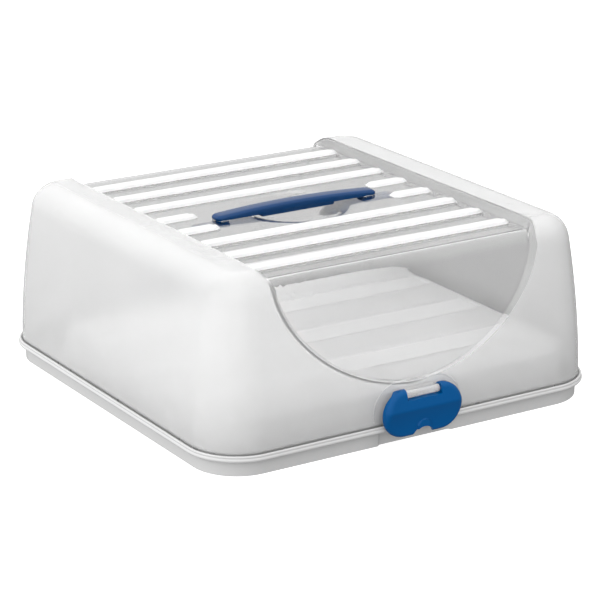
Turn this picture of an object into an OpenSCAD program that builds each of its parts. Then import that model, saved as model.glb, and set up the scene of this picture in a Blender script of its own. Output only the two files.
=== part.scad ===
// Square cake carrier: ribbed tray, lift-out serving plate, hinged see-through
// lid with a bow handle, and one snap clip at the front and one at the back.
// X runs to the right along the front, Y to the back and Z up from the table.

/* [Tray] */
// Width and depth of the tray over its rim
side_w = 365; // [335:1:425]
// Corner radius of the tray over its rim
corner_r = 44.5; // [41:0.5:60]
// Height of the rim's ledge, where the lid stands, above the table
rim_z = 16.5; // [15.5:0.5:24]
// Radius of the rim's round lower edge
bead_r = 2.3; // [1.6:0.1:2.8]
// Thickness of the lip along the rim's outer edge
lip_w = 2.2; // [1.6:0.1:2.4]
// Height of that lip above the ledge
lip_h = 1.3; // [0.8:0.1:1.4]
// How far the skirt stands inside the rim at the table
skirt_in = 5.7; // [5:0.1:7]
// Thickness of the tray's walls
tray_wall = 2.2; // [1.6:0.1:3]
// Thickness of the tray's floor
floor_t = 2.2; // [1.6:0.1:4]
// Air gap between the floor and the table
floor_gap = 3; // [2.6:0.1:5]
// Height of the upstand that locates the lid, above the rim
upstand_h = 4.5; // [3:0.5:8]

/* [Lid] */
// Height of the side ridges above the table
lid_top = 152; // [146:1:190]
// Thickness of the lid's walls
lid_wall = 2; // [1.4:0.1:2.6]
// How far the lid's foot stands inside the rim's outer edge
foot_in = 3.5; // [3.2:0.1:4.5]
// Gap between the lid's foot and the rim
foot_gap = 0.3; // [0.1:0.1:1]
// Gap between the lid's wall and the tray's upstand
fit_gap = 0.6; // [0.4:0.1:1.5]
// How far the walls lean in from foot to shoulder
lean = 10.8; // [6:0.2:14]
// Radius of the shoulder between wall and top
shoulder_r = 22; // [18:1:26]

/* [Window] */
// Width of the sunk middle panel between the feet of the side ridges
panel_w = 245; // [220:1:250]
// How far the middle panel lies below the side ridges
panel_drop = 7.5; // [4:0.5:9]
// Run of the slope from the panel up to the crest of a side ridge
ridge_run = 5; // [2:0.5:8]
// Height of the lowest point of the front window above the table
window_z = 48; // [46.5:0.5:60]
// Depth of the window's recess at its lowest point
window_low = 2; // [1:0.2:3]
// Depth of the window's recess where it meets the top
window_high = 6; // [3:0.2:7]
// Radius of the shoulder of the sunk panel
panel_r = 12; // [8:1:18]

/* [Ribs] */
// Number of raised ribs across the top
rib_n = 8; // [4:2:8]
// Distance from rib to rib
rib_pitch = 36.1; // [30:0.1:37]
// Width of a rib
rib_w = 13; // [8:0.5:18]
// Height of a rib
rib_h = 2.2; // [1:0.1:3]
// Width of a rib's sloping flank
rib_slope = 1.9; // [1:0.1:2.5]
// Length of a rib
rib_len = 243; // [200:1:244]
// Length of the gap in the two middle ribs, where the handle lies
bed_len = 166; // [158:1:176]
// Radius of the finger dish under the handle
dish_r = 44; // [42:1:46]
// Depth of the finger dish
dish_depth = 9; // [8:0.5:11]

/* [Handle] */
// Length of the handle's bow
handle_len = 153; // [140:1:158]
// Width of the handle
handle_w = 15; // [11:0.5:18]
// Thickness of the bow at its ends
handle_t = 3.8; // [3:0.2:6]
// How far the middle of the bow rises above its ends
handle_rise = 3; // [2:0.5:6]
// Width of the bevel along the bow's upper edges
handle_bevel = 2.2; // [1:0.2:3]
// Length of the grip under the middle
grip_len = 70; // [50:1:72]
// Depth of the grip below the bow
grip_t = 2.4; // [1:0.2:2.6]
// Reach of each tongue past the end of the bow, under the lid's top
tongue_reach = 20; // [12:1:24]
// Thickness of a tongue
tongue_t = 2.4; // [1.6:0.2:3.2]
// How far the handle lifts before its tongues stop it
handle_lift = 2; // [1.5:0.5:3]

/* [Clips] */
// Width of a clip
clip_w = 73; // [66:1:80]
// Height of a clip
clip_h = 38.4; // [36:0.4:39]
// Wall of a clip
clip_wall = 2.4; // [1.8:0.1:3]
// How far a clip's pivot stands out from the rim
pivot_out = 2; // [1.8:0.1:3.5]
// Height of a clip's pivot above the rim
pivot_up = 24.9; // [24:0.1:27]
// Radius of the barrel on the lid that a clip turns on
barrel_r = 3.1; // [2.4:0.1:3.4]
// Length of that barrel
barrel_len = 31.6; // [24:0.2:36]
// Radius of the stub at each end of the barrel
stub_r = 1.8; // [1.4:0.1:2]
// Length of a stub
stub_len = 6.4; // [4:0.2:8]
// Radial clearance of a stub in the clip's ear
stub_gap = 0.06; // [0.02:0.01:0.1]
// Radius of the rounded ear round each stub
ear_r = 4.6; // [4.2:0.1:4.8]
// How far the clip's crease stands out past its pivot
crease_out = 7; // [5:0.5:9]
// Height of the crease above the foot of the clip
crease_up = 22.4; // [18:0.4:26]
// Width of the finger notch in the foot of a clip
notch_w = 19.4; // [14:0.2:24]
// Height of that notch
notch_h = 6.5; // [4:0.5:8]
// Radius of the round boss above the notch
boss_r = 6.2; // [4:0.2:7]
// How far the boss's face stands out from the back of a clip
boss_out = 5; // [4.6:0.1:5.6]

/* [Keeper] */
// Width of the keeper rail that a clip closes over
keeper_w = 54; // [40:1:58]
// Radius of the keeper's rounded nose, which is the hinge line at the back
keeper_r = 2.2; // [1.6:0.1:2.6]
// How far the nose stands out from the rim
keeper_out = 2.2; // [2:0.1:2.7]
// Gap between a closed clip and the keeper
keeper_gap = 0.3; // [0.2:0.1:0.6]
// Depth of the finger pocket in the skirt below the keeper
pocket_in = 7.9; // [7.5:0.1:9]

/* [Serving plate] */
// Gap from the rim's outer edge to the plate's foot at each side
plate_side = 12.5; // [11.5:0.5:32]
// Gap from the rim's outer edge to the plate's foot at the front
plate_front = 15.5; // [14.5:0.5:42]
// Gap from the rim's outer edge to the plate's foot at the back
plate_back = 65.5; // [14.5:0.5:82]
// Height of the plate's top above the table
plate_z = 41; // [24:1:60]
// Corner radius of the plate at its foot
plate_r = 42; // [38:1:60]
// Radius of the plate's upper edge
plate_edge = 8; // [4:1:12]
// How far the plate's walls draw in from foot to upper edge
plate_draft = 1.5; // [0.5:0.5:4]
// Wall of the plate
plate_wall = 2; // [1.4:0.1:3]
// Number of sunk bands across the plate
band_n = 3; // [1:1:3]
// Distance from one sunk band to the next
band_pitch = 75; // [60:1:80]
// Width of a sunk band
band_w = 33; // [20:1:40]
// Depth of a sunk band
band_depth = 1.5; // [0.5:0.1:2.5]

/* [Hidden] */
$fn = 64;
cut = 1;
half = side_w / 2;
tray_c = half - corner_r;
lip_z = rim_z + lip_h;
foot_z = rim_z + foot_gap;
foot_w = half - foot_in;
lid_c = foot_w - (corner_r - foot_in - fit_gap);
shoulder_z = lid_top - shoulder_r;
lean_power = 1.75;
lean_h = shoulder_z - foot_z;
lean_angle = atan(lean_power * lean / lean_h);
arc_z = shoulder_z + shoulder_r * sin(lean_angle);
panel_z = lid_top - panel_drop;
window_power = 1.8;
steps = 10;
arc_steps = 6;
pivot_y = half + pivot_out;
pivot_z = rim_z + pivot_up;
clip_top = pivot_z + ear_r;
clip_foot = clip_top - clip_h;
clip_end_r = clip_h / 2;
keeper_y = half + keeper_out - keeper_r;
keeper_drop = 1;
bead_drop = 1.7;
bead_z = rim_z - bead_drop;
keeper_z = rim_z - keeper_drop - keeper_r;
clip_back = half + keeper_out + keeper_gap;
ear_gap = 0.4;
ear_from = barrel_len / 2 + ear_gap;
pocket_side = 6.5;
pocket_w = keeper_w + 2 * pocket_side;
pocket_floor = 2.5;
tray_back = half - pocket_in;
plate_foot = floor_gap + floor_t;
plate_w = side_w - 2 * plate_side;
plate_d = side_w - plate_front - plate_back;
plate_y = (plate_front - plate_back) / 2;
draft_angle = 2;
band_inset = 1.5;
band_round = 6;
bow_half = handle_len / 2;
bow_r = (bow_half * bow_half + handle_rise * handle_rise) / (2 * handle_rise);
bow_span = 3 * asin(bow_half / bow_r);
bow_end_in = 1;
bow_end_r = handle_w / 2 - bow_end_in;
grip_end_r = 2;
seat_gap = 0.3;
bow_z = panel_z + seat_gap;
leg_len = 8;
leg_w = 10;
leg_in = 3.5;
leg_x = bow_half - leg_len / 2 - leg_in;
sunk = 1;
slot_gap = 0.5;
tongue_z = panel_z - lid_wall - seat_gap - handle_lift - tongue_t;
tongue_w = 14;
upstand_round = 0.6;
skirt_lean = 0.6;
seat_rim_h = 3.2;
seat_rim_in = 3;
seat_rim_out = 5;
foot_lip = 0.8;
scoop_power = 2.2;
ear_slope = 12;
barrel_room = 0.4;
grip_in = 1;

// Half width of the lid's wall at height z: the lean grows as a power of the height.
function wall_w(z) = foot_w - lean * pow(max(0, z - foot_z) / lean_h, lean_power);

// Depth of the window's recess at height z.
function recess(z) = window_low + (window_high - window_low) * max(0, z - window_z) / (arc_z - window_z);

// Arc from angle a to angle b, in n steps.
function arc(x, y, r, a, b, n) = [for (i = [0:n])
    let (t = a + (b - a) * i / n) [x + r * cos(t), y + r * sin(t)]];

// Wall and shoulder of the lid from its foot to its top, drawn in by t, measured from x = from.
function dome_edge(t, from, below) = concat(
    [if (below > 0) [foot_w - t - from, foot_z - below]],
    [for (i = [0:steps]) let (z = foot_z + (arc_z - foot_z) * i / steps) [wall_w(z) - t - from, z]],
    arc(wall_w(arc_z) - shoulder_r * cos(lean_angle) - from, shoulder_z, shoulder_r - t,
        lean_angle, 90, arc_steps));

// Wall and shoulder of the sunk middle panel, drawn in by t.
function core_edge(t) = let (z1 = panel_z - panel_r) concat(
    [for (i = [0:steps]) let (z = foot_z + (z1 - foot_z) * i / steps) [wall_w(z) - recess(z) - t, z]],
    arc(wall_w(z1) - recess(z1) - panel_r, z1, panel_r - t, 0, 90, arc_steps));

function flip(p) = [for (i = [len(p) - 1:-1:0]) [-p[i][0], p[i][1]]];

// Lays a drawing of depth and height across the width, len long.
module along_x(length) rotate([90, 0, 90]) linear_extrude(length, center = true) children();

// Lays a drawing of width and height from the front to the back.
module along_y(length) rotate([90, 0, 0]) linear_extrude(length, center = true) children();

module rounded(w, d, r) {
    square([w - 2 * r, d], center = true);
    if (d > 2 * r) square([w, d - 2 * r], center = true);
    for (x = [-1, 1], y = [-1, 1]) translate([x * (w / 2 - r), y * (d / 2 - r)]) circle(r);
}

// Rounded box: edge gives its wall from foot to top, measured from corner centres at cx, cy.
module rounded_box(edge, cx, cy) {
    foot = edge[0][1];
    top = edge[len(edge) - 1][1];
    out_x = [for (p = edge) [p[0] + cx, p[1]]];
    out_y = [for (p = edge) [p[0] + cy, p[1]]];
    along_y(2 * cy) polygon(concat(out_x, flip(out_x)));
    along_x(2 * cx) polygon(concat(out_y, flip(out_y)));
    for (k = [0:3]) {
        x = k == 0 || k == 3 ? cx : -cx;
        y = k < 2 ? cy : -cy;
        translate([x, y, 0]) rotate([0, 0, 90 * k])
            rotate_extrude(angle = 90) polygon(concat([[0, foot]], edge, [[0, top]]));
    }
}

// Carries a wall section, measured from the corner centres, round the tray.
module round_tray() {
    for (k = [0:3]) rotate([0, 0, 90 * k]) {
        translate([tray_c, tray_c, 0]) rotate_extrude(angle = 90) children();
        translate([tray_c, 0, 0]) along_y(2 * tray_c) children();
    }
}

module front_and_back() for (a = [0, 180]) rotate([0, 0, a]) children();

/* ---- tray ---- */

// Wall of the tray: skirt, rim with its lip, ledge for the lid, and the upstand that locates it.
module tray_section() {
    out = corner_r - skirt_in;
    in = corner_r - foot_in - lid_wall - fit_gap;
    top = rim_z + upstand_h;
    inner = in - tray_wall;
    polygon(concat(
        [[out - tray_wall, 0], [out, 0], [out + skirt_lean, bead_z - bead_r]],
        arc(corner_r - bead_r, bead_z, bead_r, -90, 0, arc_steps),
        arc(corner_r - lip_w / 2, lip_z - lip_w / 2, lip_w / 2, 0, 180, arc_steps),
        [[corner_r - lip_w, rim_z], [in, rim_z], [in, top - upstand_round], [in - upstand_round, top],
         [inner + upstand_round, top], [inner, top - upstand_round],
         [inner, rim_z - tray_wall], [out - tray_wall + skirt_lean, bead_z - bead_r]]));
}

// Rail with a round nose under the bead, which a clip closes over.
module keeper() {
    root = half - skirt_in;
    along_x(keeper_w) {
        translate([keeper_y, keeper_z]) circle(keeper_r);
        translate([root, keeper_z - keeper_r]) square([keeper_y - root, 2 * keeper_r]);
    }
}

// Solid behind a finger pocket, from the floor up into the bead.
module pocket_block() {
    inner = tray_back - tray_wall;
    outer = half - bead_r;
    along_x(pocket_w + 2 * tray_wall)
        translate([inner, floor_gap]) square([outer - inner, bead_z - bead_r + sunk - floor_gap]);
}

module pocket() {
    along_x(pocket_w)
        translate([tray_back, pocket_floor]) square([pocket_in + cut, keeper_z - keeper_r - pocket_floor]);
}

module base_tray() color([0.9, 0.91, 0.92]) {
    floor_w = 2 * (half - skirt_in - tray_wall / 2);
    floor_r = corner_r - skirt_in - tray_wall / 2;
    difference() {
        union() {
            round_tray() tray_section();
            translate([0, 0, floor_gap]) linear_extrude(floor_t) rounded(floor_w, floor_w, floor_r);
            front_and_back() pocket_block();
        }
        front_and_back() pocket();
    }
    front_and_back() keeper();
}

/* ---- serving plate ---- */

// Wall and upper edge of the plate, drawn in by t and carried down below its foot.
function plate_line(t, below) = let (x = plate_r - plate_draft - plate_edge) concat(
    [if (below > 0) [plate_r - t, plate_foot - below]],
    [[plate_r - t, plate_foot]],
    arc(x, plate_z - plate_edge, plate_edge - t, draft_angle, 90, arc_steps));

// Bands across the plate's top, let out by grow and carried down by deep.
module sunk_bands(grow, deep) {
    band_l = plate_w - 2 * (plate_edge + plate_draft + band_inset - grow);
    for (i = [0:band_n - 1]) {
        y = plate_y + (i - (band_n - 1) / 2) * band_pitch;
        translate([0, y, plate_z - deep]) linear_extrude(deep + cut)
            rounded(band_l, band_w + 2 * grow, band_round + grow);
    }
}

module serving_plate() color([0.97, 0.97, 0.97]) {
    cx = plate_w / 2 - plate_r;
    cy = plate_d / 2 - plate_r;
    difference() {
        translate([0, plate_y, 0]) rounded_box(plate_line(0, 0), cx, cy);
        difference() {
            translate([0, plate_y, 0]) rounded_box(plate_line(plate_wall, cut), cx, cy);
            sunk_bands(plate_wall, band_depth + plate_wall);
        }
        sunk_bands(0, band_depth);
    }
}

/* ---- lid ---- */

// Front view of the window and the band between the ridges, let out by t.
module window_shape(t) {
    a = panel_w / 2 + t;
    b = panel_z - window_z + t;
    n = 28;
    lower = [for (i = [0:n]) let (v = 180 + 180 * i / n)
        [a * sign(cos(v)) * pow(abs(cos(v)), 2 / window_power),
         panel_z - b * pow(abs(sin(v)), 2 / window_power)]];
    up = panel_drop + cut;
    side = a + ridge_run * up / panel_drop;
    polygon(concat(lower, [[side, panel_z + up], [-side, panel_z + up]]));
}

module sunk_region(t) {
    difference() {
        along_y(side_w) window_shape(t);
        along_x(side_w) polygon(concat(core_edge(t), flip(core_edge(t))));
    }
}

// One rib, drawn in by t: a flat top between sloping flanks, with round ends.
module rib(length, t) {
    foot = rib_w / 2 - t;
    crown = foot - rib_slope;
    straight = length - rib_w;
    translate([0, 0, panel_z - t]) {
        along_x(straight)
            polygon([[-foot, -sunk], [foot, -sunk], [foot, 0], [crown, rib_h], [-crown, rib_h], [-foot, 0]]);
        for (s = [-1, 1]) translate([s * straight / 2, 0, 0])
            rotate_extrude() polygon([[0, -sunk], [foot, -sunk], [foot, 0], [crown, rib_h], [0, rib_h]]);
    }
}

module ribs(t) {
    short = (rib_len - bed_len) / 2;
    for (i = [0:rib_n - 1]) {
        y = (i - (rib_n - 1) / 2) * rib_pitch;
        if (abs(y) > rib_pitch) translate([0, y, 0]) rib(rib_len, t);
        else for (s = [-1, 1]) translate([s * (bed_len + short) / 2, y, 0]) rib(short, t);
    }
}

module dish(t) {
    r = (dish_r * dish_r + dish_depth * dish_depth) / (2 * dish_depth);
    translate([0, 0, panel_z - dish_depth + r]) sphere(r + t, $fn = 128);
}

module lid_form(t) {
    foot = t > 0 ? cut : 0;
    difference() {
        union() {
            difference() {
                rounded_box(dome_edge(t, lid_c, foot), lid_c, lid_c);
                sunk_region(t);
            }
            ribs(t);
        }
        dish(t);
    }
}

module handle_slots() {
    for (s = [-1, 1]) translate([s * leg_x, 0, panel_z])
        cube([leg_len + 2 * slot_gap, leg_w + 2 * slot_gap, 4 * lid_wall], center = true);
}

// Barrel, stubs and web that carry a clip, and the low rim round its seat, clear of the tray's lip.
module clip_mount() {
    translate([0, pivot_y, pivot_z]) rotate([0, 90, 0]) {
        cylinder(r = barrel_r, h = barrel_len, center = true);
        cylinder(r = stub_r, h = barrel_len + 2 * stub_len, center = true);
    }
    wall = wall_w(pivot_z) - lid_wall / 2;
    web_t = barrel_r * 1.2;
    translate([0, (wall + pivot_y) / 2, pivot_z]) cube([barrel_len, pivot_y - wall, web_t], center = true);
    intersection() {
        translate([0, wall, (clip_top + clip_foot) / 2]) rotate([-90, 0, 0])
            linear_extrude(seat_rim_h) difference() {
                rounded(clip_w + 2 * seat_rim_out, clip_h + 2 * seat_rim_out, clip_end_r + seat_rim_out);
                rounded(clip_w + 2 * seat_rim_in, clip_h + 2 * seat_rim_in, clip_end_r + seat_rim_in);
            }
        translate([0, half, lip_z + seat_gap + clip_h])
            cube([clip_w + 4 * seat_rim_out, half, 2 * clip_h], center = true);
    }
}

module lid() color([0.88, 0.9, 0.92, 0.45]) {
    difference() {
        lid_form(0);
        lid_form(lid_wall);
        handle_slots();
    }
    front_and_back() clip_mount();
}

/* ---- clips ---- */

// Side view of the lower face, from the foot of the clip up to its crease.
function scoop(t) = let (u0 = clip_back + clip_wall + foot_lip, u1 = pivot_y + crease_out)
    [for (i = [0:arc_steps]) let (s = i / arc_steps)
        [u0 + (u1 - u0) * pow(s, scoop_power) - t, clip_foot + crease_up * s]];

module clip_side() {
    translate([pivot_y, pivot_z]) circle(ear_r);
    polygon(concat([[clip_back, clip_foot]], scoop(0),
        [[pivot_y + ear_r * cos(ear_slope), pivot_z + ear_r * sin(ear_slope)],
         [pivot_y, pivot_z], [clip_back, pivot_z - ear_r]]));
}

module clip_hollow() {
    polygon(concat([[clip_back - cut, clip_foot]], scoop(clip_wall),
        [[pivot_y + ear_r - clip_wall, pivot_z - ear_r], [clip_back - cut, pivot_z - ear_r]]));
}

module clip_front(t) {
    translate([0, half, (clip_top + clip_foot) / 2]) rotate([-90, 0, 0])
        linear_extrude(side_w / 2, center = true) rounded(clip_w - 2 * t, clip_h - 2 * t, clip_end_r - t);
}

// Round boss on the face, whose lower half the finger notch takes away.
module boss() {
    translate([0, clip_back + clip_wall, clip_foot + notch_h]) rotate([-90, 0, 0])
        cylinder(r = boss_r, h = boss_out - clip_wall);
}

module clip() {
    notch_r = (notch_w * notch_w / 4 + notch_h * notch_h) / (2 * notch_h);
    difference() {
        intersection() {
            union() {
                along_x(clip_w) clip_side();
                boss();
            }
            clip_front(0);
        }
        intersection() {
            along_x(clip_w) clip_hollow();
            clip_front(clip_wall);
        }
        translate([0, pivot_y, pivot_z])
            cube([2 * ear_from, 4 * ear_r, 2 * (barrel_r + barrel_room)], center = true);
        translate([0, pivot_y, pivot_z + ear_r]) cube([2 * ear_from, 4 * ear_r, 2 * ear_r], center = true);
        translate([0, pivot_y, pivot_z]) rotate([0, 90, 0])
            cylinder(r = stub_r + stub_gap, h = 2 * (ear_from + stub_len), center = true);
        translate([0, pivot_y, clip_foot + notch_h - notch_r]) rotate([90, 0, 0])
            cylinder(r = notch_r, h = 6 * crease_out, center = true);
    }
}

module rear_clip() color([0.03, 0.28, 0.62]) clip();

module front_clip() color([0.03, 0.28, 0.62]) rotate([0, 0, 180]) clip();

/* ---- handle ---- */

// Slice of a wide wheel whose rim has bevelled edges: the arched top of the bow.
module arched_top() {
    low = bow_r - handle_t - handle_rise - cut;
    side = handle_w / 2;
    translate([0, 0, bow_z + handle_t + handle_rise - bow_r]) rotate([90, bow_span / 2 - 90, 0])
        rotate_extrude(angle = bow_span, $fn = 720)
            polygon([[low, -side], [bow_r - handle_bevel, -side], [bow_r, handle_bevel - side],
                [bow_r, side - handle_bevel], [bow_r - handle_bevel, side], [low, side]]);
}

module handle() color([0.02, 0.14, 0.45]) {
    intersection() {
        arched_top();
        translate([0, 0, bow_z]) linear_extrude(handle_t + handle_rise + cut)
            rounded(handle_len, handle_w, bow_end_r);
    }
    translate([0, 0, bow_z - grip_t]) linear_extrude(grip_t + sunk)
        rounded(grip_len, handle_w - 2 * grip_in, grip_end_r);
    leg_h = bow_z + sunk - tongue_z;
    tongue_in = leg_x - leg_len / 2;
    tongue_out = bow_half + tongue_reach;
    for (s = [-1, 1]) {
        translate([s * leg_x, 0, tongue_z + leg_h / 2]) cube([leg_len, leg_w, leg_h], center = true);
        translate([s * (tongue_in + tongue_out) / 2, 0, tongue_z + tongue_t / 2])
            cube([tongue_out - tongue_in, tongue_w, tongue_t], center = true);
    }
}

base_tray();
serving_plate();
lid();
front_clip();
rear_clip();
handle();
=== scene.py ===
"""Looks of the cake carrier: ribbed tray, serving plate, see-through lid, two clips and a bow handle.

Every shape is a surface on a grid of two parameters, in metres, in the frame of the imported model:
X runs to the right along the front, Y to the back and Z up from the table.
"""

import math

import bmesh
import bpy
import numpy as np
from bpy.props import FloatProperty, FloatVectorProperty, IntProperty, PointerProperty
from bpy.types import Operator, Panel, PropertyGroup
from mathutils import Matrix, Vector


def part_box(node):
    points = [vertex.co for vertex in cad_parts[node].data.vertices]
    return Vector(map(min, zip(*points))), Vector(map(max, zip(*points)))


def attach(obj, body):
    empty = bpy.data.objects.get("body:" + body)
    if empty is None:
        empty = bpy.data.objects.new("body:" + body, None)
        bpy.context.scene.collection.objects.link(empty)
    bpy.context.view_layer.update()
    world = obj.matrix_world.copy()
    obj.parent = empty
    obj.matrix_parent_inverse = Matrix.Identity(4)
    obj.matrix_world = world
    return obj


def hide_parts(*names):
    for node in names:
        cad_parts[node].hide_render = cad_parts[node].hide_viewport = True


bl_info = {
    "name": "Cake carrier",
    "version": (1, 0, 0),
    "blender": (4, 5, 0),
    "location": "3D view > Sidebar > Carrier",
    "description": "Builds a square cake carrier with a hinged lid, two clips and a bow handle",
    "category": "Object",
}

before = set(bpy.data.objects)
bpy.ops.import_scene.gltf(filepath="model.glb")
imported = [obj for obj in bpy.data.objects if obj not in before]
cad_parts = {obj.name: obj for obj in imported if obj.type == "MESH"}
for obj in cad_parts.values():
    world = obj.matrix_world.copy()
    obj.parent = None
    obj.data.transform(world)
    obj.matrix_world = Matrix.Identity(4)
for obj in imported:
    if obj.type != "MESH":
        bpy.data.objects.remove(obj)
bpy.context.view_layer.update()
TRAY_LOW, TRAY_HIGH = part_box("base_tray")
LID_LOW, LID_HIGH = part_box("lid")
PLATE_LOW, PLATE_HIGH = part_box("serving_plate")
HANDLE_LOW, HANDLE_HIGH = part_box("handle")
CLIP_LOW, CLIP_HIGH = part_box("rear_clip")
NEAR = 0.02 * 0.001
SHARP = math.radians(38)
ENDS = (("rear", 1), ("front", -1))


def length(name, description, default):
    """A size in metres for the sidebar."""
    return FloatProperty(name=name, description=description, default=default, unit="LENGTH",
                         subtype="DISTANCE", precision=4)


def colour(name, description, default):
    """A surface colour for the sidebar."""
    return FloatVectorProperty(name=name, description=description, default=default, size=3,
                               subtype="COLOR", min=0, max=1)


def share(name, description, default):
    """A number from 0 to 1 for the sidebar."""
    return FloatProperty(name=name, description=description, default=default, min=0, max=1, subtype="FACTOR")


class TraySizes(PropertyGroup):
    """Sizes of the tray and the plate on it."""

    side: length("Side", "Width and depth over the rim", TRAY_HIGH.x - TRAY_LOW.x)
    corner_r: length("Corner radius", "Radius of the rim's corners", 0.0445)
    rim_z: length("Ledge height", "Height of the rim's ledge, where the lid stands", 0.0165)
    bead_r: length("Bead radius", "Radius of the round bead below the rim's lip", 0.0017)
    lip_w: length("Lip thickness", "Thickness of the lip along the rim's outer edge", 0.0022)
    lip_h: length("Lip height", "Height of that lip above the ledge", 0.0013)
    lip_in: length("Lip inset", "How far the lip stands inside the bead", 0.0005)
    skirt_in: length("Skirt inset", "How far the skirt stands inside the rim", 0.0057)
    wall: length("Tray wall", "Thickness of the tray's walls", 0.0022)
    floor_gap: length("Floor gap", "Air between the floor and the table", 0.003)
    floor_t: length("Floor thickness", "Thickness of the tray's floor", 0.0022)
    upstand_in: length("Upstand inset", "How far the upstand stands inside the rim", 0.0061)
    pocket_in: length("Pocket depth", "How far the finger pocket stands inside the rim", 0.0079)
    pocket_w: length("Pocket width", "Width of the finger pocket behind a clip", 0.067)
    keeper_w: length("Keeper width", "Width of the rail that a clip closes over", 0.054)
    keeper_r: length("Keeper radius", "Radius of the keeper's nose", 0.0022)
    plate_r: length("Plate corners", "Radius of the serving plate's corners", 0.042)
    plate_edge: length("Plate edge", "Radius of the plate's upper edge", 0.005)
    plate_draft: length("Plate draft", "How far the plate's walls draw in", 0.0015)
    plate_wall: length("Plate wall", "Wall of the plate", 0.002)
    band_pitch: length("Band pitch", "From one sunk band to the next", 0.075)
    band_w: length("Band width", "Width of a sunk band", 0.033)
    band_depth: length("Band depth", "Depth of a sunk band", 0.0015)
    bands: IntProperty(name="Bands", description="Number of sunk bands across the plate", default=3)


class LidSizes(PropertyGroup):
    """Sizes of the lid."""

    wall: length("Wall", "Thickness of the lid", 0.002)
    corner_c: length("Corner centre", "From the middle of the lid to a corner's centre", 0.1386)
    lean: length("Lean", "How far the walls lean in from foot to shoulder", 0.0108)
    shoulder_r: length("Shoulder radius", "Radius between wall and top", 0.022)
    panel_w: length("Panel width", "Width of the sunk middle panel", 0.245)
    panel_drop: length("Panel drop", "How far the panel lies below the side ridges", 0.0075)
    ridge_run: length("Ridge run", "Run of the slope from the panel to a ridge's crest", 0.005)
    window_z: length("Window foot", "Height of the window's lowest point", 0.048)
    window_low: length("Low recess", "Depth of the recess at the window's lowest point", 0.002)
    window_high: length("High recess", "Depth of the recess where it meets the top", 0.006)
    panel_r: length("Panel shoulder", "Radius of the sunk panel's shoulder", 0.012)
    rib_w: length("Rib width", "Width of a rib", 0.013)
    rib_h: length("Rib height", "Height of a rib", 0.0022)
    rib_pitch: length("Rib pitch", "From rib to rib", 0.0361)
    rib_len: length("Rib length", "Length of a rib", 0.243)
    rib_slope: length("Rib flank", "Width of a rib's sloping flank", 0.0019)
    bed_len: length("Handle bed", "Gap in the two middle ribs where the handle lies", 0.166)
    dish_r: length("Dish radius", "Radius of the finger dish", 0.044)
    dish_depth: length("Dish depth", "Depth of the finger dish", 0.009)
    slot_x: length("Slot place", "From the middle to a slot for the handle", 0.069)
    slot_l: length("Slot length", "Length of such a slot", 0.009)
    slot_w: length("Slot width", "Width of such a slot", 0.011)


class FittingSizes(PropertyGroup):
    """Sizes of the clips, their barrels and the handle."""

    pivot_y: length("Pivot place", "From the middle to a clip's pivot", 0.1845)
    pivot_z: length("Pivot height", "Height of a clip's pivot", 0.0414)
    barrel_r: length("Barrel radius", "Radius of the barrel that a clip turns on", 0.0031)
    barrel_len: length("Barrel length", "Length of that barrel", 0.0316)
    stub_r: length("Stub radius", "Radius of the stub in a clip's ear", 0.0018)
    stub_len: length("Stub length", "Length of a stub", 0.0064)
    ear_r: length("Ear radius", "Radius of a clip's rounded ear", 0.0046)
    crease_out: length("Crease", "How far a clip's crease stands out past its pivot", 0.007)
    crease_up: length("Crease height", "Height of the crease above the clip's foot", 0.0224)
    clip_wall: length("Clip wall", "Wall of a clip", 0.0024)
    notch_w: length("Notch width", "Width of a clip's finger notch", 0.0194)
    notch_h: length("Notch height", "Height of that notch", 0.0065)
    handle_len: length("Bow length", "Length of the handle's bow", 0.153)
    handle_w: length("Bow width", "Width of the handle", HANDLE_HIGH.y - HANDLE_LOW.y)
    handle_t: length("Bow thickness", "Thickness of the bow at its ends", 0.0038)
    handle_rise: length("Bow rise", "How far the bow's middle rises above its ends", 0.003)
    handle_end: length("Bow corners", "Radius of the bow's corners seen from above", 0.005)
    grip_len: length("Grip length", "Length of the grip under the bow", 0.07)
    grip_t: length("Grip depth", "Depth of the grip below the bow", 0.0024)


class Finishes(PropertyGroup):
    """Colours and roughness of the plastics, and the painted shade at the lid's foot."""

    frost: colour("Frosted plastic", "Milky walls of the lid", (0.97, 0.97, 0.97))
    clear: colour("Clear plastic", "Window and top panel of the lid", (0.99, 0.99, 0.99))
    # painted shade: a dark band round the lid's foot that stands in for the shadow in the gap above the rim's
    # lip
    foot: colour("Lid's foot", "Shaded line of the lid's foot in the rim's groove", (0.3, 0.3, 0.3))
    rib: colour("Ribs", "Whitened ribs across the top", (0.92, 0.92, 0.92))
    tray: colour("Tray", "White plastic of the tray", (0.54, 0.54, 0.54))
    plate: colour("Plate", "Satin plastic of the serving plate", (0.9, 0.9, 0.9))
    # the sunk bands take a lighter colour than the rest of the plate, and a lower roughness
    band: colour("Bands", "Polished bands across the plate", (0.98, 0.98, 0.98))
    blue: colour("Blue", "Blue plastic of the clips", (0.0, 0.074, 0.24))
    navy: colour("Navy", "Darker blue plastic of the handle", (0.001, 0.035, 0.125))
    frost_clear: share("Frosted see-through", "Share of light that the frosted walls let through", 0.68)
    frost_rough: share("Frosted roughness", "Roughness of the frosted walls", 0.2)


# ---- meshes from grids ----


def grid_quads(rows, columns):
    """Quads of a grid of points, numbered row by row."""
    first = np.arange(rows - 1)[:, None] * columns + np.arange(columns - 1)[None, :]
    return np.stack([first, first + 1, first + columns + 1, first + columns], axis=-1).reshape(-1, 4)


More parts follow.
